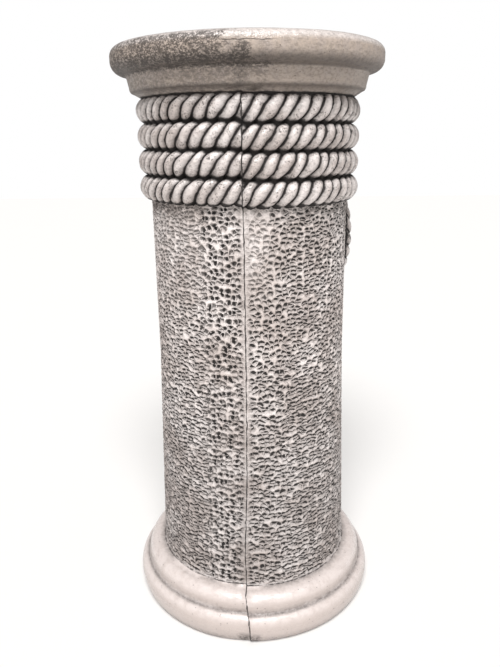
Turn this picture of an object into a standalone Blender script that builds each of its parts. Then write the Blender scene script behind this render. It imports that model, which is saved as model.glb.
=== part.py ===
"""Rope-collar pedestal column, cast in stone as one solid piece.

Metres, +Z up. The origin is the middle of the underside. The mould seam of
the casting faces -Y, and the hanging loop of rope is round at the back.
"""
import math

import bpy

# Overall height. The shaft takes up what the base, collar and cap leave.
COLUMN_HEIGHT = 0.700

# Base: two rounded steps, measured at their widest lines.
BASE_HEIGHT = 0.0625
FOOT_RADIUS = 0.152
LOWER_STEP_RADIUS = 0.1617
LOWER_STEP_HEIGHT = 0.022
GROOVE_RADIUS = 0.151
GROOVE_HEIGHT = 0.0385
UPPER_STEP_RADIUS = 0.1495
UPPER_STEP_HEIGHT = 0.044
UPPER_STEP_ROLL = 0.0145
UPPER_STEP_FALL = 0.0015

# Shaft: nearly straight above, flared below.
SHAFT_FOOT_RADIUS = 0.1265
SHAFT_WAIST_RADIUS = 0.119
SHAFT_TOP_RADIUS = 0.1188
SHAFT_FLARE = 0.282

# Rope collar: turns of three-strand rope lying on each other.
ROPE_TURNS = 4
ROPE_RADIUS = 0.0155
ROPE_CENTRE_RADIUS = 0.116
ROPE_PITCH = 0.02857
ROPE_STRANDS = 3
TWISTS_AROUND = 17
STRAND_DEPTH = 0.0038

# Loop of the same rope, half sunk in the shaft under the collar.
LOOP_RADIUS = 0.058
LOOP_DROP = 0.0656
LOOP_TWISTS = 8
LOOP_AZIMUTH = math.radians(44.0)

# Cap: a thick rounded lip over a plain band.
CAP_NECK_RADIUS = 0.124
UNDERSIDE_RISE = 0.0058
BAND_FOOT_RADIUS = 0.134
BAND_RADIUS = 0.1400
BAND_TAPER = 0.0022
BAND_CORNER_RISE = 0.006
BAND_HEIGHT = 0.0095
COVE_RADIUS = 0.004
LIP_RADIUS = 0.1573
LIP_UNDERCUT = 0.0135
LIP_FACE = 0.005
LIP_SHOULDER = 0.011
CAP_TOP_RADIUS = 0.147

# Facets: three columns to each strand, a furrow and two shoulders.
BODY_COLUMNS = 60
STRAND_COLUMNS = 3
SHOULDER_SPREAD = 0.25
TURN_FACETS = 4
LOOP_SIDES = 8
SLEEVE_DEPTH = 0.006
FULL_TURN = 2.0 * math.pi
MERGE = 0.00001
SHARP_ANGLE = math.radians(40.0)

# Heights and angles that follow from the sizes above.
CAP_HEIGHT = (
    UNDERSIDE_RISE + BAND_CORNER_RISE + BAND_HEIGHT
    + COVE_RADIUS + LIP_UNDERCUT + LIP_FACE + LIP_SHOULDER
)
NECK_HEIGHT = COLUMN_HEIGHT - CAP_HEIGHT
NOTCH_ANGLE = math.asin(ROPE_PITCH / (2.0 * ROPE_RADIUS))
NECK_ANGLE = math.acos((CAP_NECK_RADIUS - ROPE_CENTRE_RADIUS) / ROPE_RADIUS)
TOP_TURN_HEIGHT = NECK_HEIGHT - ROPE_RADIUS * math.sin(NECK_ANGLE)
LOW_TURN_HEIGHT = TOP_TURN_HEIGHT - (ROPE_TURNS - 1) * ROPE_PITCH


def arc(centre, radii, start, end, steps):
    """Points of an elliptical arc in the profile plane, angles in degrees."""
    points = []
    for step in range(steps + 1):
        angle = math.radians(start + (end - start) * step / steps)
        points.append((
            centre[0] + radii[0] * math.cos(angle),
            centre[1] + radii[1] * math.sin(angle),
        ))
    return points


def cap_profile():
    """The cap from the middle of its top down to its neck."""
    widest = COLUMN_HEIGHT - LIP_SHOULDER
    lip_low = widest - LIP_FACE
    cove_top = lip_low - LIP_UNDERCUT
    cove_mouth = BAND_RADIUS + COVE_RADIUS
    band_top = cove_top - COVE_RADIUS
    band_low = band_top - BAND_HEIGHT
    band_low_radius = BAND_RADIUS - BAND_TAPER
    corner_low = band_low - BAND_CORNER_RISE
    points = [(0.0, COLUMN_HEIGHT)]
    points += arc(
        (CAP_TOP_RADIUS, widest), (LIP_RADIUS - CAP_TOP_RADIUS, LIP_SHOULDER),
        90, 0, 2)
    points += arc(
        (cove_mouth, lip_low), (LIP_RADIUS - cove_mouth, LIP_UNDERCUT),
        0, -90, 3)
    points.append((BAND_RADIUS, band_top))
    points += arc(
        (BAND_FOOT_RADIUS, band_low),
        (band_low_radius - BAND_FOOT_RADIUS, BAND_CORNER_RISE), 0, -90, 2)
    points.append((CAP_NECK_RADIUS, corner_low - UNDERSIDE_RISE))
    return points


def collar_profile():
    """Closed outline of the rope turns, its back wall sunk in the shaft."""
    points = []
    for turn in range(ROPE_TURNS):
        height = TOP_TURN_HEIGHT - turn * ROPE_PITCH
        start = 90.0 if turn == 0 else math.degrees(NOTCH_ANGLE)
        end = -90.0 if turn == ROPE_TURNS - 1 else -math.degrees(NOTCH_ANGLE)
        rope = arc((ROPE_CENTRE_RADIUS, height), (ROPE_RADIUS, ROPE_RADIUS), start, end, TURN_FACETS)
        points += rope if turn == 0 else rope[1:]
    back = ROPE_CENTRE_RADIUS - SLEEVE_DEPTH
    points.append((back, LOW_TURN_HEIGHT - ROPE_RADIUS))
    points.append((back, TOP_TURN_HEIGHT + ROPE_RADIUS))
    return points


def shaft_profile():
    """The shaft from inside the collar down to its flared foot."""
    return [
        (SHAFT_TOP_RADIUS, TOP_TURN_HEIGHT),
        (SHAFT_WAIST_RADIUS, BASE_HEIGHT + SHAFT_FLARE),
        (SHAFT_FOOT_RADIUS, BASE_HEIGHT),
    ]


def base_profile():
    """The two rounded steps, down to the middle of the underside."""
    roll_start = UPPER_STEP_RADIUS - UPPER_STEP_ROLL
    roll_top = BASE_HEIGHT - UPPER_STEP_FALL
    points = arc(
        (roll_start, UPPER_STEP_HEIGHT),
        (UPPER_STEP_ROLL, roll_top - UPPER_STEP_HEIGHT), 90, 0, 3)
    points += arc(
        (GROOVE_RADIUS, LOWER_STEP_HEIGHT),
        (LOWER_STEP_RADIUS - GROOVE_RADIUS, GROOVE_HEIGHT - LOWER_STEP_HEIGHT),
        90, 0, 2)
    lower = arc(
        (FOOT_RADIUS, LOWER_STEP_HEIGHT),
        (LOWER_STEP_RADIUS - FOOT_RADIUS, LOWER_STEP_HEIGHT), 0, -90, 3)
    points += lower[1:]
    points.append((0.0, 0.0))
    return points


def stone_material():
    """Weathered cast stone, greige and matt."""
    material = bpy.data.materials.new("cast_stone")
    material.use_nodes = True
    shader = material.node_tree.nodes["Principled BSDF"]
    shader.inputs["Base Color"].default_value = (0.52, 0.47, 0.43, 1.0)
    shader.inputs["Roughness"].default_value = 0.85
    shader.inputs["Metallic"].default_value = 0.0
    material.diffuse_color = (0.52, 0.47, 0.43, 1.0)
    return material


def add_object(name, mesh, collection):
    """A mesh object linked to one collection."""
    thing = bpy.data.objects.new(name, mesh)
    collection.objects.link(thing)
    return thing


def turned(name, profile, closed, columns, collection):
    """A profile turned about the column's axis, as a mesh object."""
    mesh = bpy.data.meshes.new(name)
    edges = [(index, index + 1) for index in range(len(profile) - 1)]
    if closed:
        edges.append((len(profile) - 1, 0))
    mesh.from_pydata([(radius, 0.0, height) for radius, height in profile], edges, [])
    outline = add_object(name + "_profile", mesh, collection)
    screw = outline.modifiers.new("Turn", "SCREW")
    screw.axis = "Z"
    screw.angle = FULL_TURN
    screw.steps = columns
    screw.render_steps = columns
    screw.use_merge_vertices = True
    screw.merge_threshold = MERGE
    bpy.context.view_layer.update()
    evaluated = outline.evaluated_get(bpy.context.evaluated_depsgraph_get())
    solid = add_object(name, bpy.data.meshes.new_from_object(evaluated), collection)
    bpy.data.objects.remove(outline)
    return solid


def strand_place(row):
    """Where a column lies in its strand, in strands, and how far it sinks."""
    strand, part = divmod(row, STRAND_COLUMNS)
    if part == 0:
        return strand, STRAND_DEPTH
    return strand + 0.5 + SHOULDER_SPREAD * (2 * part - STRAND_COLUMNS), 0.0


def lay_collar_strands(mesh):
    """Bunch the collar's columns into strands and slant them along the lay."""
    strands = ROPE_STRANDS * TWISTS_AROUND
    for vertex in mesh.vertices:
        place = vertex.co
        radius = math.hypot(place.x, place.y)
        row = round(math.atan2(place.y, place.x) / FULL_TURN * strands * STRAND_COLUMNS)
        strand, depth = strand_place(row)
        turn = min(max(round((place.z - LOW_TURN_HEIGHT) / ROPE_PITCH), 0), ROPE_TURNS - 1)
        rise = (place.z - LOW_TURN_HEIGHT - turn * ROPE_PITCH) / ROPE_RADIUS
        section = math.asin(min(max(rise, -1.0), 1.0))
        climbed = section + 2.0 * turn * NOTCH_ANGLE
        azimuth = strand / strands * FULL_TURN + climbed / TWISTS_AROUND
        radius -= depth * math.cos(section)
        place.x = radius * math.cos(azimuth)
        place.y = radius * math.sin(azimuth)


def rope_collar(collection):
    """The turns of rope round the neck, as one sleeve."""
    columns = ROPE_STRANDS * TWISTS_AROUND * STRAND_COLUMNS
    collar = turned("rope_collar", collar_profile(), True, columns, collection)
    lay_collar_strands(collar.data)
    return collar


def rope_loop(collection):
    """A ring of the same rope, wrapped on the shaft below the collar."""
    strands = ROPE_STRANDS * LOOP_TWISTS
    rows = strands * STRAND_COLUMNS
    bpy.ops.mesh.primitive_torus_add(
        major_segments=rows, minor_segments=LOOP_SIDES,
        major_radius=LOOP_RADIUS, minor_radius=ROPE_RADIUS)
    loop = bpy.context.active_object
    loop.name = "rope_loop"
    for owner in loop.users_collection:
        owner.objects.unlink(loop)
    collection.objects.link(loop)
    for vertex in loop.data.vertices:
        flat = vertex.co.copy()
        out = math.hypot(flat.x, flat.y) - LOOP_RADIUS
        section = math.atan2(-out, flat.z)
        strand, depth = strand_place(round(math.atan2(flat.y, flat.x) / FULL_TURN * rows))
        # The slant dies away on the buried side, so that the ring closes.
        slant = math.copysign(min(abs(section), math.pi - abs(section)), section)
        along = strand / strands * FULL_TURN + slant / LOOP_TWISTS
        size = 1.0 - depth / ROPE_RADIUS
        ring = LOOP_RADIUS + out * size
        azimuth = LOOP_AZIMUTH + ring * math.cos(along) / SHAFT_TOP_RADIUS
        radius = SHAFT_TOP_RADIUS + flat.z * size
        height = LOW_TURN_HEIGHT - LOOP_DROP + ring * math.sin(along)
        vertex.co = (radius * math.cos(azimuth), radius * math.sin(azimuth), height)
    return loop


def join(column, rope):
    """Make the column and a length of rope one solid."""
    rope.hide_render = True
    rope.display_type = "WIRE"
    union = column.modifiers.new("Join " + rope.name, "BOOLEAN")
    union.operation = "UNION"
    union.solver = "EXACT"
    union.object = rope


def build():
    """Model the column in its own collection, with the ropes in another."""
    for thing in list(bpy.data.objects):
        bpy.data.objects.remove(thing)
    scene = bpy.context.scene
    parts = bpy.data.collections.new("rope_collar_column")
    ropes = bpy.data.collections.new("joined_ropes")
    scene.collection.children.link(parts)
    scene.collection.children.link(ropes)

    profile = cap_profile() + shaft_profile() + base_profile()
    column = turned("column", profile, False, BODY_COLUMNS, parts)
    collar = rope_collar(ropes)
    loop = rope_loop(ropes)
    stone = stone_material()
    for thing in (column, collar, loop):
        thing.data.materials.append(stone)
        thing.data.shade_smooth()
        thing.data.set_sharp_from_angle(angle=SHARP_ANGLE)
    join(column, collar)
    join(column, loop)


build()
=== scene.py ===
import math

import bpy
import numpy as np
from bpy.props import FloatProperty, FloatVectorProperty, IntProperty, PointerProperty
from mathutils import Matrix, Vector


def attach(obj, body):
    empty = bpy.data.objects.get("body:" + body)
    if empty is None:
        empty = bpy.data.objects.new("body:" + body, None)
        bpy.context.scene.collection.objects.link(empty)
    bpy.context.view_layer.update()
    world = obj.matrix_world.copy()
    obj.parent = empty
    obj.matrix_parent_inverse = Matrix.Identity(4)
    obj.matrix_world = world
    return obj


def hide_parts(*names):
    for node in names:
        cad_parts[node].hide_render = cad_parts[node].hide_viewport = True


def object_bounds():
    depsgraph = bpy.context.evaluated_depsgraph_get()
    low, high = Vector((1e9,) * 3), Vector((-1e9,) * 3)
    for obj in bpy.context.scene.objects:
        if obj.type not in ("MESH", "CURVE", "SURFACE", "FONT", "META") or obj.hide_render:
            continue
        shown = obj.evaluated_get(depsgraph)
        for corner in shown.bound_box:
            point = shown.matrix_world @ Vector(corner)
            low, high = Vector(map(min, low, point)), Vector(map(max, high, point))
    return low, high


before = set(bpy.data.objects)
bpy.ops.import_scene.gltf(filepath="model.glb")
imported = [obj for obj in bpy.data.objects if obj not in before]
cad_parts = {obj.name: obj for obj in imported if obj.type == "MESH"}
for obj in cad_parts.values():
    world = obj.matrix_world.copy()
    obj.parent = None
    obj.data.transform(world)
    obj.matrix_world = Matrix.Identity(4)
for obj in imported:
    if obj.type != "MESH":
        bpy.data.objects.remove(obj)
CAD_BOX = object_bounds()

bl_info = {
    "name": "Rope-collar pedestal column",
    "version": (1, 0, 0),
    "blender": (4, 5, 0),
    "location": "3D View > Sidebar > Column",
    "description": "Models and finishes a cast-stone garden column with a collar of carved rope",
    "category": "Object",
}

MM = 0.001
TURN = 2.0 * math.pi
MERGE = 0.00001

# Surface spacing of the model before it is thinned, and the limit after it.
COLUMNS = 600
FINE_STEP = 1.3 * MM
PLAIN_STEP = 1.9 * MM
FLAT_STEP = 24.0 * MM
TRIANGLE_LIMIT = 198000

# The mould seam wanders: height in metres, then millimetres to the right.
SEAM_WANDER = (
    (0.000, 4.8), (0.022, 4.0), (0.034, 3.0), (0.040, 0.9), (0.0625, -1.8), (0.115, -2.8),
    (0.190, 0.2), (0.290, 1.4), (0.400, 1.4), (0.530, 0.8), (0.600, 1.2), (0.700, 1.5),
)
SEAM_REACH = 45.0 * MM

# The step at the seam fades out at the foot, and from the top turn of rope to the cap's band.
FADE_FOOT = 0.012
FADE_TOP = 0.045

# The rope's lay jumps between turns and at the seam, and drifts, in shares of a strand.
TURN_JUMP = 0.37
SEAM_JUMP = 0.42
SEAM_JUMP_A_TURN = 0.23
SLOW_DRIFT = 0.10
QUICK_DRIFT = 0.06

# Share of a full round that a strand keeps between its furrows, and shares by which
# strands differ in depth and furrows deepen towards the next turn.
ROUND_SHARE = 0.94
STRAND_VARY = 0.12
FURROW_DEEPENS = 0.35

# How uneven the rope and the smooth faces came out of the mould, and waves crossed to make it.
ROPE_UNEVEN = 0.4 * MM
CAST_UNEVEN = 0.25 * MM
WAVES = 6

# The tool stopped short of the seam, and went lighter high up on its right.
BARE_STRIP = (1.5 * MM, 6.5 * MM)
LIGHT_HEIGHTS = (0.40, 0.47)
LIGHT_REACH = (14.0 * MM, 48.0 * MM)
LIGHTER = 0.42

# Left of the seam lies a belt of deep round pits, and further out are finer strokes.
CRATERS_BEGIN = (4.0 * MM, 14.0 * MM)
CRATERS_END = (38.0 * MM, 62.0 * MM)
STROKES_BEGIN = (20.0 * MM, 78.0 * MM)

# The tool wandered a few millimetres over a couple of centimetres, and its marks are
# ragged: the size of each unevenness, and how far it moves the pits.
TOOL_DRIFT = ((17.0 * MM, (6.0 * MM, 8.0 * MM, 0.0)), (2.6 * MM, (1.8 * MM, 1.8 * MM, 0.0)))

# Dirt and painted shade lie in hollows of the outline this wide, fully where it turns by this much.
HOLLOW_SPREAD = 3.2 * MM
HOLLOW_BEND = 1.3

# Parts of the outline, as each point of it is marked.
CAP, ROPE, SHAFT, BASE = range(4)

# Unevenness seen in the stone: size of its patches, layers of finer detail, and their strength.
BROAD = (60.0 * MM, 3.0, 0.50)
CLOUD = (22.0 * MM, 5.0, 0.70)
BLOTCH = (10.0 * MM, 6.0, 0.65)
STREAK = (4.5 * MM, 8.0, 0.75)
FLECK = (1.6 * MM, 3.0, 0.60)
GRAIN = (0.8 * MM, 3.0, 0.70)

FLOOR_SIZE = 12.0

# Kinds of node and settings that the finish uses often. A mix takes its share at 0,
# numbers at 2 and 3 and colours at 6 and 7, and gives its colour at 2.
MATH = "ShaderNodeMath"
VECTOR = "ShaderNodeVectorMath"
PARTS = "ShaderNodeSeparateXYZ"
RANGE = "ShaderNodeMapRange"
NOISE = "ShaderNodeTexNoise"
CELLS = "ShaderNodeTexVoronoi"
MIX = "ShaderNodeMix"
EASED = {"interpolation_type": "SMOOTHSTEP"}
TIMES = {"operation": "MULTIPLY"}
TIMES_PLUS = {"operation": "MULTIPLY_ADD"}
LARGER = {"operation": "MAXIMUM"}
COLOURS = {"data_type": "RGBA"}


def length(name, description, default):
    """A size in metres that a user can change."""
    return FloatProperty(name=name, description=description, default=default, unit="LENGTH", precision=4)


def number(name, description, default, least):
    """A number of things that a user can change."""
    return IntProperty(name=name, description=description, default=default, min=least)


def angle(name, description, degrees):
    """An angle that a user can change, given in degrees."""
    return FloatProperty(name=name, description=description, default=math.radians(degrees), unit="ROTATION")


def linear(code):
    """An sRGB hex colour as linear red, green and blue, opaque."""
    parts = [int(code[place:place + 2], 16) / 255.0 for place in (0, 2, 4)]
    parts = [part / 12.92 if part <= 0.04045 else ((part + 0.055) / 1.055) ** 2.4 for part in parts]
    return (*parts, 1.0)


def colour(name, description, code):
    """A colour that a user can change, given as sRGB hex."""
    return FloatVectorProperty(
        name=name, description=description, subtype="COLOR", size=4, min=0.0, max=1.0, default=linear(code))


class ColumnSizes(bpy.types.PropertyGroup):
    """Sizes of the casting; heights are above the underside."""

    height: length("Height", "Underside to top", CAD_BOX[1][2])
    foot_radius: length("Foot radius", "Edge of the underside", 0.152)
    lower_radius: length("Lower step radius", "Widest line of the lower step", 0.1617)
    lower_height: length("Lower step height", "Height of that line", 0.022)
    groove_radius: length("Groove radius", "Bottom of the groove between the steps", 0.151)
    groove_height: length("Groove height", "Height of the groove", 0.0385)
    upper_radius: length("Upper step radius", "Widest line of the upper step", 0.1495)
    upper_height: length("Upper step height", "Height of that line", 0.044)
    upper_roll: length("Upper step roll", "Width of the upper step's rounding", 0.0145)
    upper_fall: length("Upper step fall", "How far the base's top slopes down", 0.0015)
    base_height: length("Base height", "Where the shaft stands on the base", 0.0625)
    shaft_foot: length("Shaft foot radius", "Shaft at the base", 0.1265)
    shaft_waist: length("Shaft waist radius", "Shaft where its flare begins", 0.119)
    shaft_top: length("Shaft top radius", "Shaft under the collar", 0.1188)
    shaft_flare: length("Flare height", "Height of the flared part above the base", 0.282)
    rope_radius: length("Rope radius", "Half the rope's thickness", 0.0155)
    rope_centre: length("Rope centre radius", "Axis of the column to the middle of the rope", 0.116)
    rope_pitch: length("Rope pitch", "From one turn of rope to the next", 0.02857)
    rope_turns: number("Rope turns", "Turns in the collar", 4, 1)
    strands: number("Strands", "Strands in the rope", 3, 2)
    twists: number("Twists", "Twists of the rope in one turn", 17, 3)
    strand_depth: length("Strand depth", "Depth of the furrows between strands", 0.0042)
    loop_radius: length("Loop radius", "Middle line of the hanging loop", 0.058)
    loop_drop: length("Loop drop", "Centre of the loop below the lowest turn", 0.0656)
    loop_twists: number("Loop twists", "Twists of the rope in the loop", 8, 3)
    loop_bearing: angle("Loop bearing", "From the mould seam round to the loop", 134.0)
    neck_radius: length("Neck radius", "Where the cap meets the rope", 0.124)
    underside_rise: length("Underside rise", "Slope of the cap's underside", 0.0058)
    band_foot: length("Band foot radius", "Where the band's corner begins", 0.134)
    band_radius: length("Band radius", "Top of the plain band", 0.1400)
    band_taper: length("Band taper", "How far the band draws in below", 0.0022)
    band_corner: length("Band corner", "Height of the band's rounded corner", 0.006)
    band_height: length("Band height", "Face of the band", 0.0095)
    cove: length("Cove", "Hollow between band and lip", 0.004)
    lip_radius: length("Lip radius", "Widest line of the cap", 0.1573)
    lip_undercut: length("Lip undercut", "Height of the lip's rounded underside", 0.0135)
    lip_face: length("Lip face", "Upright face of the lip", 0.005)
    lip_shoulder: length("Lip shoulder", "Height of the rounding above it", 0.011)
    cap_top: length("Cap top radius", "Flat on the top", 0.147)
    half_offset: length("Half offset", "How much lower one half of the mould sat", 0.0028)
    foot_jog: length("Foot jog", "How far the lower step stands proud on one side of the seam", 0.0016)
    flash_height: length("Flash height", "Ridge left along the seam", 0.0005)
    flash_width: length("Flash width", "Half the width of that ridge", 0.0022)
    pit_depth: length("Pit depth", "Depth of the shaft's stipple", 0.0015)
    pit_width: length("Pit width", "Stipple pits apart, sideways", 0.0070)
    pit_height: length("Pit height", "Stipple pits apart, up and down", 0.0060)
    stroke_width: length("Stroke width", "Finer strokes apart, sideways", 0.0078)
    stroke_height: length("Stroke height", "Finer strokes apart, up and down", 0.0048)


class ColumnColours(bpy.types.PropertyGroup):
    """Colours of the weathered stone."""

    stone: colour("Stone", "Clean cast stone on ridges and crests", "F8EFEB")
    greige: colour("Greige", "Dulled stone on broad faces", "C6B8B1")
    tan: colour("Tan", "Brownish stone of the cap", "C9B8AA")
    blush: colour("Blush", "Pinkish bloom on the base", "E6DAD5")
    # This colour is both the wash and the colour of painted shade and shadow.
    wash_and_shade: colour("Wash", "Dark wash left in the recesses", "1E1A19")
    patina: colour("Patina", "Brown-grey growth on the cap", "332D29")


class ColumnStage(bpy.types.PropertyGroup):
    """The view that the column is shown from."""

    distance: length("Distance", "Camera to the column's axis, level", 0.7926)
    eye_height: length("Eye height", "Camera above the floor", 0.6022)
    bearing: angle("Bearing", "Camera round from the mould seam", 3.6)
    pitch: angle("Pitch", "How far the camera looks down", 17.3)
    roll: angle("Roll", "How far the camera leans", -0.75)
    lens: FloatProperty(name="Lens", description="Focal length", default=34.0, unit="CAMERA")
    shift: FloatProperty(name="Shift", description="Sideways shift of the frame", default=-0.0015)
    light_bearing: angle("Light bearing", "Light round from the mould seam", 2.0)
    light_height: angle("Light height", "Light above the horizon", 54.0)
    light_width: angle("Light width", "How wide the light looks", 28.0)
    light_power: FloatProperty(name="Light power", description="Strength of the light", default=3.5)
    fill: FloatProperty(name="Fill", description="Strength of the light from all round", default=0.30)
    floor: colour("Floor", "Pale floor", "F0EEEC")


def arc(centre, radii, start, end, step):
    """Points of an elliptical arc in the outline's plane, about a step apart."""
    reach = math.radians(abs(end - start)) * max(radii)
    count = max(2, math.ceil(reach / step))
    points = []
    for index in range(count + 1):
        at = math.radians(start + (end - start) * index / count)
        points.append((centre[0] + radii[0] * math.cos(at), centre[1] + radii[1] * math.sin(at)))
    return points


def straight(start, end, step):
    """Points from start, which is left out, to end."""
    count = max(1, math.ceil(math.hypot(end[0] - start[0], end[1] - start[1]) / step))
    points = []
    for index in range(1, count + 1):
        share = index / count
        points.append((start[0] + (end[0] - start[0]) * share, start[1] + (end[1] - start[1]) * share))
    return points


def cap_outline(sizes):
    """The cap from the middle of its top down to its neck."""
    widest = sizes.height - sizes.lip_shoulder
    lip_low = widest - sizes.lip_face
    cove_top = lip_low - sizes.lip_undercut
    cove_mouth = sizes.band_radius + sizes.cove
    band_top = cove_top - sizes.cove
    band_low = band_top - sizes.band_height
    corner_low = band_low - sizes.band_corner
    band_low_radius = sizes.band_radius - sizes.band_taper
    points = [(0.0, sizes.height)]
    points += straight((0.0, sizes.height), (sizes.cap_top, sizes.height), FLAT_STEP)
    points += arc(
        (sizes.cap_top, widest), (sizes.lip_radius - sizes.cap_top, sizes.lip_shoulder),
        90, 0, PLAIN_STEP)[1:]
    points += straight((sizes.lip_radius, widest), (sizes.lip_radius, lip_low), PLAIN_STEP)
    points += arc(
        (cove_mouth, lip_low), (sizes.lip_radius - cove_mouth, sizes.lip_undercut),
        0, -90, PLAIN_STEP)[1:]
    points += arc((cove_mouth, band_top), (-sizes.cove, sizes.cove), 90, 0, PLAIN_STEP)[1:]
    points += straight((sizes.band_radius, band_top), (band_low_radius, band_low), PLAIN_STEP)
    points += arc(
        (sizes.band_foot, band_low), (band_low_radius - sizes.band_foot, sizes.band_corner),
        0, -90, PLAIN_STEP)[1:]
    neck = (sizes.neck_radius, corner_low - sizes.underside_rise)
    points += straight((sizes.band_foot, corner_low), neck, PLAIN_STEP)
    return points


def collar_angles(sizes):
    """Section angles where turns meet each other, the neck and the shaft."""
    notch = math.asin(sizes.rope_pitch / (2.0 * sizes.rope_radius))
    neck = math.acos((sizes.neck_radius - sizes.rope_centre) / sizes.rope_radius)
    seat = math.acos((sizes.shaft_top - sizes.rope_centre) / sizes.rope_radius)
    return notch, neck, seat


def neck_height(sizes):
    """Height at which the cap meets the rope."""
    return cap_outline(sizes)[-1][1]


def top_turn_height(sizes):
    """Height of the middle of the highest turn of rope."""
    return neck_height(sizes) - sizes.rope_radius * math.sin(collar_angles(sizes)[1])


def outline(sizes):
    """The whole outline, top to underside, and each point's part and turn."""
    points = cap_outline(sizes)
    marks = [(CAP, 0)] * len(points)
    notch, neck, seat = collar_angles(sizes)
    top_turn = top_turn_height(sizes)
    for turn in range(sizes.rope_turns):
        start = neck if turn == 0 else notch
        end = -seat if turn == sizes.rope_turns - 1 else -notch
        centre = (sizes.rope_centre, top_turn - turn * sizes.rope_pitch)
        rope = arc(
            centre, (sizes.rope_radius, sizes.rope_radius), math.degrees(start), math.degrees(end),
            FINE_STEP)[1:]
        points += rope
        marks += [(ROPE, turn)] * len(rope)

    waist = (sizes.shaft_waist, sizes.base_height + sizes.shaft_flare)
    foot = (sizes.shaft_foot, sizes.base_height)
    shaft = straight(points[-1], waist, FINE_STEP) + straight(waist, foot, FINE_STEP)
    points += shaft
    marks += [(SHAFT, 0)] * len(shaft)

    roll_start = (sizes.upper_radius - sizes.upper_roll, sizes.base_height - sizes.upper_fall)
    base = straight(foot, roll_start, PLAIN_STEP)
    base += arc(
        (roll_start[0], sizes.upper_height), (sizes.upper_roll, roll_start[1] - sizes.upper_height),
        90, 0, PLAIN_STEP)[1:]
    groove = (sizes.groove_radius, sizes.groove_height)
    base += straight(base[-1], groove, PLAIN_STEP)
    base += arc(
        (sizes.groove_radius, sizes.lower_height),
        (sizes.lower_radius - sizes.groove_radius, sizes.groove_height - sizes.lower_height),
        90, 0, PLAIN_STEP)[1:]
    base += arc(
        (sizes.foot_radius, sizes.lower_height),
        (sizes.lower_radius - sizes.foot_radius, sizes.lower_height),
        0, -90, PLAIN_STEP)[1:]
    base += straight((sizes.foot_radius, 0.0), (0.0, 0.0), FLAT_STEP)
    points += base
    marks += [(BASE, 0)] * len(base)
    return points, marks


def deselect():
    """Nothing selected and nothing in edit mode."""
    if bpy.context.object and bpy.context.object.mode != "OBJECT":
        bpy.ops.object.mode_set(mode="OBJECT")
    bpy.ops.object.select_all(action="DESELECT")


def turn_outline(name, points):
    """Draw an outline by extruding one vertex along it, and turn it about the column's axis."""
    deselect()
    bpy.ops.mesh.primitive_plane_add(size=MM, location=(points[0][0], 0.0, points[0][1]))
    piece = bpy.context.object
    piece.name = name
    bpy.ops.object.transform_apply(location=True, rotation=True, scale=True)
    bpy.ops.object.mode_set(mode="EDIT")
    bpy.ops.mesh.select_all(action="SELECT")
    bpy.ops.mesh.merge(type="CENTER")
    for before, after in zip(points, points[1:]):
        step = (after[0] - before[0], 0.0, after[1] - before[1])
        bpy.ops.mesh.extrude_vertices_move(TRANSFORM_OT_translate={"value": step})
    bpy.ops.object.mode_set(mode="OBJECT")
    # Each vertex keeps its number along the outline while it is turned.
    wanted = np.array(points)
    station = piece.data.attributes.new("station", "INT", "POINT")
    for index, vertex in enumerate(piece.data.vertices):
        gap = np.hypot(wanted[:, 0] - vertex.co.x, wanted[:, 1] - vertex.co.z)
        station.data[index].value = int(gap.argmin())
    turned = piece.modifiers.new("Turned", "SCREW")
    turned.axis = "Z"
    turned.angle = TURN
    turned.steps = COLUMNS
    turned.render_steps = COLUMNS
    turned.use_merge_vertices = True
    turned.merge_threshold = MERGE
    bpy.ops.object.modifier_apply(modifier=turned.name)
    bpy.ops.object.mode_set(mode="EDIT")
    bpy.ops.mesh.select_all(action="SELECT")
    bpy.ops.mesh.remove_doubles(threshold=MERGE)
    bpy.ops.mesh.normals_make_consistent(inside=False)
    bpy.ops.object.mode_set(mode="OBJECT")
    return piece


def smooth(value, low, high):
    """0 below low, 1 above high, with an eased ramp between."""
    share = np.clip((value - low) / (high - low), 0.0, 1.0)
    return share * share * (3.0 - 2.0 * share)


def drift(seed, *coordinates):
    """Gentle unevenness between about -1 and 1, from a few crossed waves."""
    random = np.random.RandomState(seed)
    total = 0.0
    for _ in range(WAVES):
        turns = random.normal(size=len(coordinates))
        phase = random.uniform(0.0, TURN)
        total = total + np.sin(sum(turn * part for turn, part in zip(turns, coordinates)) + phase)
    return total / (WAVES / 2)


def strand_relief(lay, depth):
    """Depth below the crest of a strand: round strands with a sharp furrow."""
    across = np.abs((lay % 1.0) - 0.5) * 2.0
    sag = 1.0 - np.sqrt(1.0 - (ROUND_SHARE * across) ** 2)
    return depth * sag / (1.0 - math.sqrt(1.0 - ROUND_SHARE ** 2))


def outline_run(points):
    """Distance along the outline to each of its points."""
    steps = np.diff(np.array(points), axis=0)
    return np.concatenate([[0.0], np.cumsum(np.hypot(steps[:, 0], steps[:, 1]))])


def hollows(points):
    """How hollow the outline is at each point, from 0 to 1, spread over a few millimetres."""
    steps = np.diff(np.array(points), axis=0)
    run = outline_run(points)
    bend = np.diff(np.unwrap(np.arctan2(steps[:, 1], steps[:, 0])))
    inward = np.clip(bend, 0.0, None)
    spread = np.exp(-((run[:, None] - run[None, 1:-1]) / HOLLOW_SPREAD) ** 2)
    return np.clip(spread @ inward / HOLLOW_BEND, 0.0, 1.0)


def seam_line(height):
    """Sideways place of the mould seam, in metres, at each height."""
    heights, places = zip(*SEAM_WANDER)
    ragged = 0.25 * np.sin(height * 410.0) + 0.20 * np.sin(height * 930.0 + 1.0)
    return (np.interp(height, heights, places) + ragged) * MM


def keep_values(mesh, values):
    """Store what the finish reads, as one number for each vertex."""
    for name, numbers in values.items():
        attribute = mesh.attributes.new(name, "FLOAT", "POINT")
        attribute.data.foreach_set("value", numbers.astype(np.float32))


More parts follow.
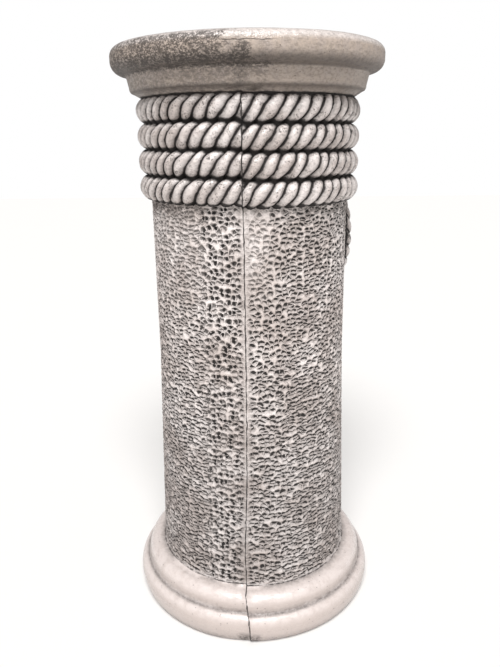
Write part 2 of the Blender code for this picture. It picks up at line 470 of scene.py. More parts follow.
def carve(piece, sizes, marks, points):
    """Cut the rope's strands, the seam's step and the loop into the turned form."""
    mesh = piece.data
    count = len(mesh.vertices)
    places = np.empty(count * 3)
    mesh.vertices.foreach_get("co", places)
    places = places.reshape(count, 3)
    station = np.empty(count, dtype=np.int32)
    mesh.attributes["station"].data.foreach_get("value", station)
    part = np.array([mark[0] for mark in marks])[station]
    turn = np.array([mark[1] for mark in marks])[station]

    line = np.array(points)
    slope = np.gradient(line, axis=0)
    slope /= np.maximum(np.linalg.norm(slope, axis=1), MERGE)[:, None]
    out_radial = -slope[:, 1][station]
    out_up = slope[:, 0][station]

    radius = np.hypot(places[:, 0], places[:, 1])
    height = places[:, 2].copy()
    bearing = np.arctan2(places[:, 0], -places[:, 1])
    round_front = bearing * np.maximum(radius, MERGE) - seam_line(height)
    round_back = (math.pi - np.abs(bearing)) * np.maximum(radius, MERGE) * np.sign(bearing)
    round_back = round_back - seam_line(sizes.height - height)
    in_front = np.abs(bearing) < math.pi / 2.0
    seam = np.where(in_front, round_front, round_back)
    right = seam > 0.0

    # Rope: the furrows climb with the section angle, three strands to a twist.
    notch = collar_angles(sizes)[0]
    neck = neck_height(sizes)
    top_turn = top_turn_height(sizes)
    centre = top_turn - turn * sizes.rope_pitch
    section = np.arcsin(np.clip((height - centre) / sizes.rope_radius, -1.0, 1.0))
    lay = bearing / TURN * sizes.strands * sizes.twists - section / TURN * sizes.strands
    lay = lay + TURN_JUMP * turn + np.where(right, SEAM_JUMP + SEAM_JUMP_A_TURN * turn, 0.0)
    lay = lay + SLOW_DRIFT * drift(3, bearing * 17.0, turn * 2.1)
    lay = lay + QUICK_DRIFT * drift(4, bearing * 41.0, turn * 3.3, section)
    strand_number = np.floor(lay) + 60.0 * turn
    depth = sizes.strand_depth * (1.0 + STRAND_VARY * drift(5, strand_number * 1.7))
    furrow = strand_relief(lay, depth * (1.0 + FURROW_DEEPENS * (section / notch) ** 2))
    on_rope = part == ROPE
    sink = np.where(on_rope, furrow + ROPE_UNEVEN * drift(6, bearing * 25.0, turn * 1.9), 0.0)
    plain = (part == CAP) | (part == BASE)
    sink = sink + np.where(plain, CAST_UNEVEN * (1.0 + drift(7, bearing * 5.0, height * 60.0)), 0.0)
    flat_end = (height < MERGE) | (height > sizes.height - MERGE)
    sink = np.where(flat_end, 0.0, sink)
    radius = np.maximum(radius - sink * out_radial, 0.0)
    height = height - sink * out_up

    # The hanging loop: the same rope in half relief on the shaft.
    shaft_radius = np.interp(
        height,
        [sizes.base_height, sizes.base_height + sizes.shaft_flare, sizes.height],
        [sizes.shaft_foot, sizes.shaft_waist, sizes.shaft_top])
    loop_height = top_turn - (sizes.rope_turns - 1) * sizes.rope_pitch - sizes.loop_drop
    across = ((bearing - sizes.loop_bearing + math.pi) % TURN - math.pi) * sizes.shaft_top
    up = height - loop_height
    away = np.hypot(across, up) - sizes.loop_radius
    swell = np.sqrt(np.clip(1.0 - (away / sizes.rope_radius) ** 2, 0.0, 1.0))
    loop_section = np.arcsin(np.clip(-away / sizes.rope_radius, -1.0, 1.0))
    loop_lay = np.arctan2(up, across) / TURN * sizes.strands * sizes.loop_twists
    loop_lay = loop_lay - loop_section / TURN * sizes.strands
    loop_rise = (sizes.rope_radius - strand_relief(loop_lay, sizes.strand_depth)) * swell
    near_loop = (swell > 0.0) & ((part == SHAFT) | on_rope)
    on_loop = near_loop & (shaft_radius + loop_rise > radius)
    radius = np.where(on_loop, shaft_radius + loop_rise, radius)

    # One half of the mould sat lower than the other, and a little proud at the foot.
    fade = smooth(height, 0.0, FADE_FOOT) * (1.0 - smooth(height, top_turn, sizes.height - FADE_TOP))
    shift = np.where(right, -0.5, 0.5) * sizes.half_offset * fade
    by_seam = np.exp(-(seam / SEAM_REACH) ** 2) * in_front
    proud = np.where(right, 0.5, -0.5) * sizes.foot_jog * by_seam
    proud = proud * (1.0 - smooth(height, sizes.groove_height - 2.0 * MM, sizes.groove_height + 2.0 * MM))
    # A low ridge of flash stands along the seam below the cap. The middles of both ends stay flat.
    flash = sizes.flash_height * np.exp(-(seam / sizes.flash_width) ** 2) * fade
    radius = np.where(radius > sizes.foot_radius * 0.7, radius + proud + flash, radius)

    places[:, 0] = radius * np.sin(bearing)
    places[:, 1] = -radius * np.cos(bearing)
    places[:, 2] = height + shift
    mesh.vertices.foreach_set("co", places.ravel())

    on_shaft = (part == SHAFT) & ~on_loop
    # Where the finish darkens the rope and around it: the notches between turns with wash and painted
    # shade, the loop's sides and the shaft beside the loop with painted shade, and the cap just above the
    # neck with a painted shadow.
    notch_share = np.where(on_rope & ~on_loop, np.abs(section) / notch, 0.0)
    loop_share = smooth(np.abs(away), 0.75 * sizes.rope_radius, sizes.rope_radius)
    beside_loop = smooth(np.abs(away), sizes.rope_radius + 3.0 * MM, sizes.rope_radius)
    notch_share = np.where(on_loop, 0.55 + 0.45 * loop_share, notch_share)
    notch_share = np.where(on_shaft, 0.95 * beside_loop, notch_share)
    under_cap = smooth(-height, -(neck + 3.5 * MM), -neck)
    notch_share = np.where(part == CAP, under_cap, notch_share)
    bare = smooth(np.abs(seam), *BARE_STRIP)
    light = smooth(height, *LIGHT_HEIGHTS) * (1.0 - smooth(seam, *LIGHT_REACH)) * in_front * right
    stipple = np.where(on_shaft, bare * (1.0 - LIGHTER * light), 0.0)
    stipple = stipple * smooth(height, sizes.base_height, sizes.base_height + 3.0 * MM)
    stipple = stipple * (1.0 - beside_loop)
    crater = smooth(-seam, *CRATERS_BEGIN) * (1.0 - smooth(-seam, *CRATERS_END))
    run = outline_run(points)
    corner = max(index for index, mark in enumerate(marks) if mark[0] == SHAFT)
    # Downward faces of the cap and base take painted shade in the finish.
    facing_down = smooth(-out_up, -0.15, 0.85)
    keep_values(mesh, {
        "seam": seam,
        "foot": (run[corner] - run)[station],
        "under": np.where(plain, facing_down, 0.0),
        "hollow": np.where(plain, hollows(points)[station], 0.0),
        "strand": np.where(on_loop, loop_lay, np.where(on_rope, lay, 0.5)),
        "rope": (on_rope | on_loop).astype(float),
        "notch": notch_share,
        "stipple": stipple,
        "crater": crater * in_front,
        "worm": smooth(np.abs(seam), *STROKES_BEGIN),
    })
    mesh.attributes.remove(mesh.attributes["station"])
    mesh.update()


def add(tree, kind, inputs=(), output=0, **settings):
    """Add a node with its settings, set or link its inputs, and give one of its outputs."""
    made = tree.nodes.new(kind)
    for name, value in settings.items():
        setattr(made, name, value)
    for key, value in inputs.items() if isinstance(inputs, dict) else enumerate(inputs):
        if isinstance(value, bpy.types.NodeSocket):
            tree.links.new(value, made.inputs[key])
        else:
            made.inputs[key].default_value = value
    return made.outputs[output]


def stipple_pits(tree, place, crater, worm, sizes):
    """The tooled pits: their depth from 0 to 1, how far up in its pit a point lies, and the holes."""
    # The shaft's surface is unrolled: metres round from the front, and height.
    across, along, height = (add(tree, PARTS, (place,), output=axis) for axis in range(3))
    toward = add(tree, MATH, (along, -1.0), **TIMES)
    bearing = add(tree, MATH, (across, toward), operation="ARCTAN2")
    unrolled = add(tree, MATH, (bearing, sizes.shaft_top), **TIMES)
    flat = add(tree, "ShaderNodeCombineXYZ", (unrolled, height))

    bent = flat
    for patch, reach in TOOL_DRIFT:
        uneven = add(tree, NOISE, {"Vector": flat, "Scale": 1.0 / patch, "Detail": 1.0}, output=1)
        centred = add(tree, VECTOR, (uneven, (0.5, 0.5, 0.5)), operation="SUBTRACT")
        bent = add(tree, VECTOR, (centred, reach, bent), **TIMES_PLUS)

    # Far from the seam the strokes are finer, and low down and far out they run together.
    ragged = add(tree, NOISE, {"Vector": flat, "Scale": 1.0 / (9.0 * MM), "Detail": 2.0})
    finer = add(tree, MATH, (ragged, 0.9, worm), **TIMES_PLUS)
    finer = add(tree, RANGE, (finer, 0.88, 1.02), **EASED)
    merged = add(tree, RANGE, (height, 390.0 * MM, 290.0 * MM, 0.0, 0.55), **EASED)
    merged = add(tree, MATH, (worm, 0.25, merged), **TIMES_PLUS)
    merged = add(tree, MATH, (merged, ragged), **TIMES)
    tilt = add(tree, RANGE, (ragged, 0.3, 0.7, -0.9, 0.9), **EASED)

    found = []
    for wide, tall in ((sizes.pit_width, sizes.pit_height), (sizes.stroke_width, sizes.stroke_height)):
        spread = add(tree, VECTOR, (bent, (1.0 / wide, 1.0 / tall, 1.0)), **TIMES)
        cells = {"Vector": spread, "Scale": 1.0, "Randomness": 0.82}
        middle = add(tree, CELLS, cells, output="Position", voronoi_dimensions="2D")
        edge = add(tree, CELLS, cells, voronoi_dimensions="2D", feature="DISTANCE_TO_EDGE")
        local = add(tree, VECTOR, (spread, middle), operation="SUBTRACT")
        sideways = add(tree, PARTS, (local,))
        upward = add(tree, PARTS, (local,), output=1)
        ends = add(tree, MATH, (sideways, sideways), **TIMES)
        opened = add(tree, MATH, (ends, merged), **TIMES)
        edge = add(tree, MATH, (opened, 1.1, edge), **TIMES_PLUS)
        apart = add(tree, RANGE, (edge, 0.02, 0.20), **EASED)
        drawn = add(tree, MATH, (merged, -0.45, 1.0), **TIMES_PLUS)
        narrowed = add(tree, MATH, (sideways, drawn), **TIMES)
        inward = add(tree, "ShaderNodeCombineXYZ", (narrowed, upward))
        away = add(tree, VECTOR, (inward,), output="Value", operation="LENGTH")
        depth = add(tree, RANGE, (away, 0.72, 0.30), **EASED)
        depth = add(tree, MATH, (depth, apart), operation="MINIMUM")
        upward = add(tree, MATH, (sideways, tilt, upward), **TIMES_PLUS)
        found.append((depth, upward, local, cells))
    dimples, dimple_upward, local, cells = found[0]
    strokes, stroke_upward = found[1][:2]
    pits = add(tree, MIX, {0: finer, 2: dimples, 3: strokes}, data_type="FLOAT")
    upward = add(tree, MIX, {0: finer, 2: dimple_upward, 3: stroke_upward}, data_type="FLOAT")

    # Left of the seam, some pits are punched deep, round and dark.
    lot = add(tree, CELLS, cells, output="Color", voronoi_dimensions="2D")
    chosen = add(tree, RANGE, (add(tree, PARTS, (lot,)), 0.34, 0.46), **EASED)
    rounder = add(tree, VECTOR, (local, (1.25, 0.95, 0.0)), **TIMES)
    away = add(tree, VECTOR, (rounder,), output="Value", operation="LENGTH")
    deep = add(tree, RANGE, (away, 0.40, 0.24), **EASED)
    deep = add(tree, MATH, (deep, chosen), **TIMES)
    holes = add(tree, MATH, (deep, crater), **TIMES)
    return pits, upward, holes


def stipple_modifier(piece, sizes):
    """Sink the stipple into the shaft's surface, and apply it."""
    tree = bpy.data.node_groups.new("Shaft stipple", "GeometryNodeTree")
    tree.interface.new_socket("Geometry", in_out="INPUT", socket_type="NodeSocketGeometry")
    tree.interface.new_socket("Geometry", in_out="OUTPUT", socket_type="NodeSocketGeometry")
    given = add(tree, "NodeGroupInput")
    place = add(tree, "GeometryNodeInputPosition")
    masks = [
        add(tree, "GeometryNodeInputNamedAttribute", (name,), data_type="FLOAT")
        for name in ("stipple", "crater", "worm")
    ]
    pits, _, holes = stipple_pits(tree, place, masks[1], masks[2], sizes)
    depth = add(tree, MATH, (holes, 0.6, pits), **TIMES_PLUS)
    depth = add(tree, MATH, (depth, masks[0]), **TIMES)
    sunk = add(tree, MATH, (depth, -sizes.pit_depth), **TIMES)
    level = add(tree, VECTOR, (place, (1.0, 1.0, 0.0)), **TIMES)
    outward = add(tree, VECTOR, (level,), operation="NORMALIZE")
    offset = add(tree, VECTOR, {0: outward, "Scale": sunk}, operation="SCALE")
    moved = add(tree, "GeometryNodeSetPosition", {"Geometry": given, "Offset": offset})
    result = tree.nodes.new("NodeGroupOutput")
    tree.links.new(moved, result.inputs[0])
    modifier = piece.modifiers.new("Shaft stipple", "NODES")
    modifier.node_group = tree
    bpy.ops.object.modifier_apply(modifier=modifier.name)


def thin(piece, sizes):
    """Take out triangles where the surface is plain, and keep both ends level."""
    piece.data.calc_loop_triangles()
    total = len(piece.data.loop_triangles)
    modifier = piece.modifiers.new("Thin", "DECIMATE")
    modifier.ratio = TRIANGLE_LIMIT / total
    bpy.ops.object.modifier_apply(modifier=modifier.name)
    for vertex in piece.data.vertices:
        vertex.co.z = min(max(vertex.co.z, 0.0), sizes.height)


def check(piece):
    """Raise an error unless the surface is closed and light enough."""
    mesh = piece.data
    sides = np.empty(len(mesh.loops), dtype=np.int32)
    mesh.loops.foreach_get("edge_index", sides)
    open_edges = int((np.bincount(sides, minlength=len(mesh.edges)) != 2).sum())
    if open_edges:
        raise RuntimeError(f"{piece.name} has {open_edges} edges that don't join two faces")
    mesh.calc_loop_triangles()
    if len(mesh.loop_triangles) > TRIANGLE_LIMIT:
        raise RuntimeError(f"{piece.name} has {len(mesh.loop_triangles)} triangles")


def cast_stone(sizes, colours):
    """Reconstituted limestone cast in a two-part mould, washed dark and rubbed back.

    The wash stays in pits and furrows, the ridges are pale, the cap carries growth, and the smooth faces
    have small air holes. Painted shade darkens the pits under their upper lips, the strands' flanks, the
    notches, creases and undersides, and painted light brightens upward faces.
    """
    material = bpy.data.materials.new("cast_stone_washed")
    material.use_nodes = True
    tree = material.node_tree
    tree.nodes.clear()
    place = add(tree, "ShaderNodeTexCoord", output="Object")
    read = {}
    for name in ("seam", "foot", "rope", "strand", "notch", "stipple", "crater", "worm", "under", "hollow"):
        read[name] = add(tree, "ShaderNodeAttribute", output="Fac", attribute_name=name)
    sideways = add(tree, PARTS, (place,))
    height = add(tree, PARTS, (place,), output=2)
    normal = add(tree, "ShaderNodeNewGeometry", output="Normal")
    facing_up = add(tree, PARTS, (normal,), output=2)

    # Unevenness at the sizes seen in the stone, from broad drifts to single grains.
    stretched = add(tree, VECTOR, (place, (1.0, 1.0, 1.9)), **TIMES)
    broad, cloud, blotch, streak, fleck, grain = (
        add(tree, NOISE, {"Vector": spot, "Scale": 1.0 / size, "Detail": detail, "Roughness": roughness})
        for spot, (size, detail, roughness) in (
            (place, BROAD), (place, CLOUD), (place, BLOTCH),
            (stretched, STREAK), (place, FLECK), (place, GRAIN)))

    neck = neck_height(sizes)
    on_cap = add(tree, RANGE, (height, neck - MM, neck + MM), **EASED)
    on_base = add(tree, RANGE, (read["foot"], 0.4 * MM, -0.4 * MM), **EASED)
    lip_foot = sizes.height - 16.0 * MM
    edge = add(tree, MATH, (cloud, -160.0 * MM, sideways), **TIMES_PLUS)
    reach = add(tree, RANGE, (height, lip_foot, lip_foot - 16.0 * MM, 0.0, -22.0 * MM), **EASED)
    edge = add(tree, MATH, (edge, reach), operation="ADD")
    left = add(tree, RANGE, (edge, -62.0 * MM, -98.0 * MM), **EASED)
    # Painted light: upward faces are lightened towards clean stone.
    painted_top_light = add(tree, RANGE, (facing_up, 0.08, 0.60), **EASED)
    # Painted shade: the base's upright faces are greyed.
    painted_wall_shade = add(tree, RANGE, (facing_up, 0.62, 0.12), **EASED)
    low = add(tree, RANGE, (height, 400.0 * MM, 120.0 * MM), **EASED)

    # Clean stone drifts between pale and greige; the base is paler and pinkish, the cap duller. Painted
    # light brightens upward faces, and painted shade greys the base's upright walls.
    share = add(tree, RANGE, (broad, 0.35, 0.65, 0.0, 0.75), **EASED)
    tone = add(tree, MIX, {0: share, 6: colours.stone, 7: colours.greige}, 2, **COLOURS)
    tone = add(tree, MIX, {0: on_cap, 6: tone, 7: colours.tan}, 2, **COLOURS)
    share = add(tree, MATH, (painted_top_light, 0.75), **TIMES)
    tone = add(tree, MIX, {0: share, 6: tone, 7: colours.stone}, 2, **COLOURS)
    tone = add(tree, MIX, {0: on_base, 6: tone, 7: colours.blush}, 2, **COLOURS)
    share = add(tree, RANGE, (blotch, 0.40, 0.70, 0.0, 0.50), **EASED)
    tone = add(tree, MIX, {0: share, 6: tone, 7: colours.greige}, 2, **COLOURS)
    # Painted shade greys the base's upright walls.
    share = add(tree, MATH, (painted_wall_shade, on_base), **TIMES)
    share = add(tree, MATH, (share, 0.85), **TIMES)
    tone = add(tree, MIX, {0: share, 6: tone, 7: colours.greige}, 2, **COLOURS)

    # Each tooled pit holds wash, and a painted shadow darkens it further under its upper lip, so it is less
    # dark below.
    pits, upward, holes = stipple_pits(tree, place, read["crater"], read["worm"], sizes)
    pits = add(tree, MATH, (pits, read["stipple"]), **TIMES)
    holes = add(tree, MATH, (holes, read["stipple"]), **TIMES)
    painted_pit_shadow = add(tree, RANGE, (upward, -0.20, 0.16, 0.34, 1.0), **EASED)
    uneven = add(tree, RANGE, (blotch, 0.25, 0.70, 0.78, 1.0), **EASED)
    dark = add(tree, MATH, (pits, painted_pit_shadow), **TIMES)
    dark = add(tree, MATH, (dark, uneven), **TIMES)
    dark = add(tree, RANGE, (dark, 0.03, 0.80, 0.0, 0.98), **EASED)
    spared = add(tree, RANGE, (read["crater"], 0.0, 1.0, 1.0, 0.80), **EASED)
    dark = add(tree, MATH, (dark, spared), **TIMES)
    upper = add(tree, RANGE, (height, 380.0 * MM, 500.0 * MM), **EASED)
    outer = add(tree, RANGE, (read["seam"], -36.0 * MM, -58.0 * MM, 0.0, 0.24), **EASED)
    worn = add(tree, MATH, (upper, outer), **TIMES)
    worn = add(tree, MATH, (1.0, worn), operation="SUBTRACT")
    dark = add(tree, MATH, (dark, worn), **TIMES)
    punched = add(tree, RANGE, (holes, 0.2, 0.8, 0.0, 0.98), **EASED)
    dark = add(tree, MATH, (dark, punched), **LARGER)

    # Furrows between strands stay black with wash; the notches between turns are black with wash and
    # painted shade, with painted shade beside the loop and a painted shadow on the cap above the neck.
    lay = add(tree, MATH, (read["strand"],), operation="FRACT")
    from_crest = add(tree, MATH, (lay, 0.5), operation="SUBTRACT")
    from_crest = add(tree, MATH, (from_crest,), operation="ABSOLUTE")
    from_crest = add(tree, MATH, (from_crest, 2.0), **TIMES)
    on_rope = add(tree, RANGE, (read["rope"], 0.85, 1.0), **EASED)
    ragged = add(tree, MATH, (blotch, 0.30, -0.25), **TIMES_PLUS)
    ragged = add(tree, MATH, (fleck, 0.20, ragged), **TIMES_PLUS)
    sunk = add(tree, MATH, (from_crest, ragged), operation="ADD")
    furrow = add(tree, RANGE, (sunk, 0.62, 0.88, 0.0, 0.98), **EASED)
    # Painted shade on each strand's flanks, darker from the crest to the furrow.
    painted_flank_shade = add(tree, RANGE, (sunk, 0.12, 0.88, 0.0, 0.52), **EASED)
    beside = add(tree, MATH, (furrow, painted_flank_shade), **LARGER)
    beside = add(tree, MATH, (beside, on_rope), **TIMES)
    notched = add(tree, MATH, (read["notch"], ragged), operation="ADD")
    groove = add(tree, RANGE, (notched, 0.62, 0.90, 0.0, 0.98), **EASED)
    speckled = add(tree, MATH, (read["notch"], 0.10, fleck), **TIMES_PLUS)
    speckled = add(tree, RANGE, (speckled, 0.56, 0.63, 0.0, 0.80), **EASED)
    clusters = add(tree, RANGE, (blotch, 0.44, 0.60, 0.15, 1.0), **EASED)
    speckled = add(tree, MATH, (speckled, clusters), **TIMES)
    speckled = add(tree, MATH, (speckled, on_rope), **TIMES)
    for layer in (beside, groove, speckled):
        dark = add(tree, MATH, (dark, layer), **LARGER)

    # The shaft's foot and the mould seam show as thin ragged dark lines.
    foot_gap = add(tree, MATH, (fleck, 1.2 * MM, read["foot"]), **TIMES_PLUS)
    foot_gap = add(tree, MATH, (foot_gap,), operation="ABSOLUTE")
    foot_line = add(tree, RANGE, (foot_gap, 1.5 * MM, 0.7 * MM), **EASED)
    broken = add(tree, RANGE, (blotch, 0.35, 0.55, 0.25, 0.90), **EASED)
    foot_line = add(tree, MATH, (foot_line, broken), **TIMES)
    near = add(tree, MATH, (read["seam"],), operation="ABSOLUTE")
    seam_gap = add(tree, MATH, (blotch, -2.0 * MM, near), **TIMES_PLUS)
    seam = add(tree, RANGE, (seam_gap, -0.10 * MM, -0.60 * MM, 0.0, 0.92), **EASED)
    seam_share = add(tree, RANGE, (on_cap, 0.0, 1.0, 1.0, 0.08), **EASED)
    seam = add(tree, MATH, (seam, seam_share), **TIMES)
    dark = add(tree, MATH, (dark, foot_line), **LARGER)
    dark = add(tree, MATH, (dark, seam), **LARGER)

    # Dirt and painted shade lie in the hollows of the mouldings, painted shade darkens their undersides,
    # and the base darkens towards the floor, with stains by the seam.
    # Dirt and painted shade in the mouldings' hollows.
    thick = add(tree, RANGE, (streak, 0.25, 0.65, 0.35, 0.80), **EASED)
    crease_dirt_and_shade = add(tree, MATH, (read["hollow"], thick), **TIMES)
    # Painted shade on downward faces, stronger on the cap.
    under = add(tree, RANGE, (on_cap, 0.0, 1.0, 0.34, 0.75), **EASED)
    under = add(tree, MATH, (under, read["under"]), **TIMES)
    # Darker towards the floor, in patches.
    darker_to_floor = add(tree, RANGE, (height, 18.0 * MM, 0.0), **EASED)
    patches = add(tree, RANGE, (streak, 0.3, 0.6, 0.25, 0.62), **EASED)
    darker_to_floor = add(tree, MATH, (darker_to_floor, patches), **TIMES)
    beside_seam = add(tree, MATH, (read["seam"], MM), operation="ADD")
    beside_seam = add(tree, MATH, (beside_seam,), operation="ABSOLUTE")
    beside_seam = add(tree, RANGE, (beside_seam, 21.0 * MM, 9.0 * MM), **EASED)
    stain = add(tree, RANGE, (height, 22.0 * MM, 8.0 * MM), **EASED)
    stain = add(tree, MATH, (stain, beside_seam), **TIMES)
    patches = add(tree, RANGE, (streak, 0.38, 0.52, 0.15, 0.80), **EASED)
    stain = add(tree, MATH, (stain, patches), **TIMES)
    # A hairline crack runs along the lip over the seam.
    crack_gap = add(tree, MATH, (blotch, 3.0 * MM, height), **TIMES_PLUS)
    crack_gap = add(tree, MATH, (crack_gap, sizes.height - 9.5 * MM), operation="SUBTRACT")
    crack_gap = add(tree, MATH, (crack_gap,), operation="ABSOLUTE")
    crack = add(tree, RANGE, (crack_gap, 0.55 * MM, 0.25 * MM, 0.0, 0.75), **EASED)
    crack_end = add(tree, MATH, (read["seam"], -8.0 * MM), operation="ADD")
    crack_end = add(tree, MATH, (crack_end,), operation="ABSOLUTE")
    crack_end = add(tree, RANGE, (crack_end, 29.0 * MM, 20.0 * MM), **EASED)
    crack = add(tree, MATH, (crack, crack_end), **TIMES)
    for layer in (crease_dirt_and_shade, under, darker_to_floor, stain, crack):
        dark = add(tree, MATH, (dark, layer), **LARGER)

    # Scattered air holes about a millimetre across.
    bubbles = {"Vector": place, "Scale": 1.0 / (4.6 * MM)}
    picked = add(tree, PARTS, (add(tree, CELLS, bubbles, output="Color"),))
    picked = add(tree, RANGE, (picked, 0.66, 0.70, 0.0, 0.80), **EASED)
    bubble = add(tree, RANGE, (add(tree, CELLS, bubbles), 0.15, 0.07), **EASED)
    bubble = add(tree, MATH, (bubble, picked), **TIMES)
    dark = add(tree, MATH, (dark, bubble), **LARGER)

    # A thin film dulls the stone in streaks, more low on the shaft, and hardly on the base.
    film = add(tree, RANGE, (streak, 0.45, 0.62, 0.0, 0.30), **EASED)
    tooled = add(tree, RANGE, (read["stipple"], 0.0, 1.0, 1.0, 0.30), **EASED)
    film = add(tree, MATH, (film, tooled), **TIMES)
    film = add(tree, MATH, (low, 0.24, film), **TIMES_PLUS)
    strip = add(tree, RANGE, (near, 10.0 * MM, 5.0 * MM, 0.0, 0.26), **EASED)
    strip = add(tree, MATH, (strip, blotch), **TIMES)
    film = add(tree, MATH, (film, strip), operation="ADD")
    bare = add(tree, RANGE, (on_base, 0.0, 1.0, 1.0, 0.20), **EASED)
    film = add(tree, MATH, (film, bare), **TIMES)
    clear = add(tree, MATH, (1.0, dark), operation="SUBTRACT")
    dark = add(tree, MATH, (film, clear, dark), **TIMES_PLUS)
    # The dark mask mixes in the wash colour, for dirt and for painted shade.
    shade = add(tree, MIX, {0: dark, 6: tone, 7: colours.wash_and_shade}, 2, **COLOURS)

    # Growth on the cap, in patches and threads, heavy left of the seam, thin on its band and on top.
    patchy = add(tree, MATH, (blotch, 0.35, streak), **TIMES_PLUS)
    patchy = add(tree, MATH, (fleck, 0.75, patchy), **TIMES_PLUS)
    patchy = add(tree, RANGE, (patchy, 0.91, 1.10, 0.0, 0.88), **EASED)
    contour = add(tree, MATH, (streak, 0.5), operation="SUBTRACT")
    contour = add(tree, MATH, (contour,), operation="ABSOLUTE")
    thread = add(tree, RANGE, (contour, 0.018, 0.006, 0.0, 0.85), **EASED)
    patchy = add(tree, MATH, (patchy, thread), **LARGER)
    amount = add(tree, RANGE, (left, 0.0, 1.0, 0.12, 0.93), **EASED)
    band_top = neck + 24.0 * MM
    thinner = add(tree, RANGE, (height, band_top - 4.0 * MM, band_top, 0.45, 1.0), **EASED)
    rinsed = add(tree, RANGE, (facing_up, 0.70, 0.97, 1.0, 0.22), **EASED)
    growth = patchy
    for layer in (on_cap, amount, thinner, rinsed):
        growth = add(tree, MATH, (growth, layer), **TIMES)
    shade = add(tree, MIX, {0: growth, 6: shade, 7: colours.patina}, 2, **COLOURS)
    strength = add(tree, RANGE, (on_base, 0.0, 1.0, 0.30, 0.18), **EASED)
    specks = add(tree, RANGE, (grain, 0.60, 0.74), **EASED)
    specks = add(tree, MATH, (specks, strength), **TIMES)
    shade = add(tree, MIX, {0: specks, 6: shade, 7: colours.patina}, 2, **COLOURS)

    # Fine relief below what the model carries; the cast mouldings are slightly wavy.
    shiny = add(tree, MATH, (on_cap, on_base), **LARGER)
    shiny = add(tree, MATH, (shiny, on_rope), **LARGER)
    relief = add(tree, MATH, (holes, 0.7, pits), **TIMES_PLUS)
    relief = add(tree, MATH, (relief, -1.0), **TIMES)
    cut = add(tree, RANGE, (from_crest, 0.70, 1.0), **EASED)
    cut = add(tree, MATH, (cut, on_rope), **TIMES)
    relief = add(tree, MATH, (cut, -0.5, relief), **TIMES_PLUS)
    relief = add(tree, MATH, (grain, 0.05, relief), **TIMES_PLUS)
    rough = add(tree, RANGE, (on_base, 0.0, 1.0, 0.12, 0.04), **EASED)
    relief = add(tree, MATH, (fleck, rough, relief), **TIMES_PLUS)
    wavy = add(tree, RANGE, (shiny, 0.0, 1.0, 0.0, 0.45), **EASED)
    relief = add(tree, MATH, (blotch, wavy, relief), **TIMES_PLUS)
    relief = add(tree, MATH, (bubble, -0.25, relief), **TIMES_PLUS)
    relief = add(tree, MATH, (seam, -0.35, relief), **TIMES_PLUS)
    bump = add(tree, "ShaderNodeBump", {"Height": relief, "Distance": 2.4 * MM, "Strength": 1.0})

    # The smooth cap, base and rope are sealed and shine softly, and dirt and painted shade have no shine.
    gloss = add(tree, RANGE, (shiny, 0.0, 1.0, 0.50, 0.22), **EASED)
    matt = add(tree, MATH, (dark, growth), **LARGER)
    sheen = add(tree, MIX, {0: matt, 2: gloss, 3: 0.90}, data_type="FLOAT")
    clean = add(tree, MATH, (1.0, matt), operation="SUBTRACT")
    sealed = add(tree, MATH, (shiny, clean), **TIMES)
    sealed = add(tree, MATH, (sealed, 0.55), **TIMES)
    shader = add(tree, "ShaderNodeBsdfPrincipled", {
        "Base Color": shade, "Roughness": sheen, "Normal": bump, "Metallic": 0.0, "IOR": 1.5,
        "Coat Weight": sealed, "Coat Roughness": 0.14, "Coat Normal": bump})
    result = tree.nodes.new("ShaderNodeOutputMaterial")
    tree.links.new(shader, result.inputs["Surface"])
    return material


class ModelColumn(bpy.types.Operator):
    """Turn, carve and finish the cast column"""

    bl_idname = "column.model"
    bl_label = "Cast column"

    def execute(self, context):
        sizes = context.scene.column_sizes
        points, marks = outline(sizes)
        piece = turn_outline("cast_column", points)
        carve(piece, sizes, marks, points)
        stipple_modifier(piece, sizes)
        thin(piece, sizes)
        check(piece)
        bpy.ops.object.shade_smooth()
        piece.data.materials.clear()
        piece.data.materials.append(cast_stone(sizes, context.scene.column_colours))
        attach(piece, "root")
        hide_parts("column")
        return {"FINISHED"}


def high_light(stage):
    """A broad soft light from far off, as from a wide diffuser above the camera."""
    data = bpy.data.lights.new("high_light", "SUN")
    data.angle = stage.light_width
    data.energy = stage.light_power
    lamp = bpy.data.objects.new("high_light", data)
    bpy.context.scene.collection.objects.link(lamp)
    turn = Matrix.Rotation(stage.light_bearing, 4, "Z")
    lamp.matrix_world = turn @ Matrix.Rotation(math.pi / 2.0 - stage.light_height, 4, "X")


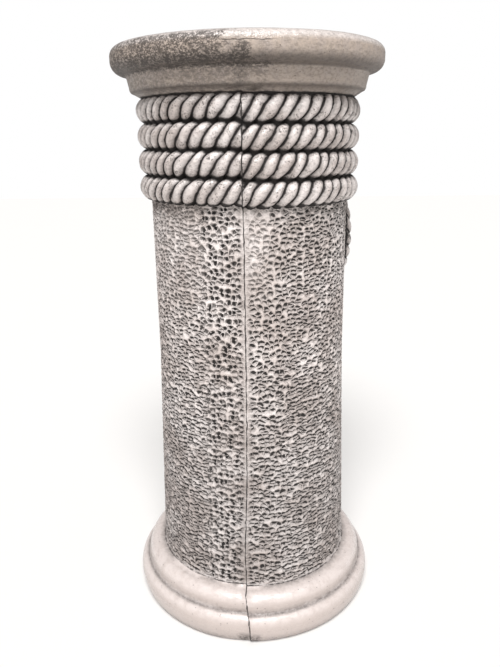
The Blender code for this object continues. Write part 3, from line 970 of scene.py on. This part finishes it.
class SetStage(bpy.types.Operator):
    """Lay the floor and set the lights and the camera"""

    bl_idname = "column.stage"
    bl_label = "Floor, lights and camera"

    def execute(self, context):
        scene = context.scene
        stage = scene.column_stage
        deselect()
        bpy.ops.mesh.primitive_plane_add(size=FLOOR_SIZE, location=(0.0, 0.0, 0.0))
        floor = context.object
        floor.name = "floor"
        painted = bpy.data.materials.new("pale_floor")
        painted.use_nodes = True
        shader = painted.node_tree.nodes["Principled BSDF"]
        shader.inputs["Base Color"].default_value = stage.floor
        shader.inputs["Roughness"].default_value = 0.9
        floor.data.materials.append(painted)

        # The backdrop looks white, and gives the column only a soft fill.
        world = bpy.data.worlds.new("studio")
        scene.world = world
        world.use_nodes = True
        tree = world.node_tree
        seen = add(tree, "ShaderNodeLightPath", output="Is Camera Ray")
        fill = add(tree, RANGE, (seen, 0.0, 1.0, stage.fill, 1.0))
        tree.links.new(fill, tree.nodes["Background"].inputs["Strength"])
        tree.nodes["Background"].inputs["Color"].default_value = (1.0, 1.0, 1.0, 1.0)
        scene.view_settings.view_transform = "Standard"
        high_light(stage)

        camera = bpy.data.objects.new("camera", bpy.data.cameras.new("camera"))
        scene.collection.objects.link(camera)
        camera.data.lens = stage.lens
        camera.data.shift_x = stage.shift
        place = Vector((
            stage.distance * math.sin(stage.bearing),
            -stage.distance * math.cos(stage.bearing),
            stage.eye_height,
        ))
        turn = (
            Matrix.Rotation(stage.bearing, 4, "Z")
            @ Matrix.Rotation(math.pi / 2.0 - stage.pitch, 4, "X")
            @ Matrix.Rotation(stage.roll, 4, "Z")
        )
        camera.matrix_world = Matrix.Translation(place) @ turn
        scene.camera = camera
        return {"FINISHED"}


class ColumnPanel(bpy.types.Panel):
    """The column's steps and sizes"""

    bl_idname = "VIEW3D_PT_rope_column"
    bl_label = "Rope-collar column"
    bl_space_type = "VIEW_3D"
    bl_region_type = "UI"
    bl_category = "Column"

    def draw(self, context):
        layout = self.layout
        scene = context.scene
        for step in STEPS:
            layout.operator(step.bl_idname)
        for group in (scene.column_sizes, scene.column_colours, scene.column_stage):
            box = layout.box()
            for name in group.bl_rna.properties.keys():
                if name not in ("rna_type", "name"):
                    box.prop(group, name)


STEPS = (ModelColumn, SetStage)
CLASSES = (ColumnSizes, ColumnColours, ColumnStage) + STEPS + (ColumnPanel,)


def register():
    """Register the classes and hang their values on the scene."""
    for item in CLASSES:
        bpy.utils.register_class(item)
    bpy.types.Scene.column_sizes = PointerProperty(type=ColumnSizes)
    bpy.types.Scene.column_colours = PointerProperty(type=ColumnColours)
    bpy.types.Scene.column_stage = PointerProperty(type=ColumnStage)


def unregister():
    """Undo register."""
    del bpy.types.Scene.column_stage
    del bpy.types.Scene.column_colours
    del bpy.types.Scene.column_sizes
    for item in reversed(CLASSES):
        bpy.utils.unregister_class(item)


def main():
    """Register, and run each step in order."""
    register()
    bpy.ops.column.model()
    bpy.ops.column.stage()


if __name__ == "__main__":
    main()
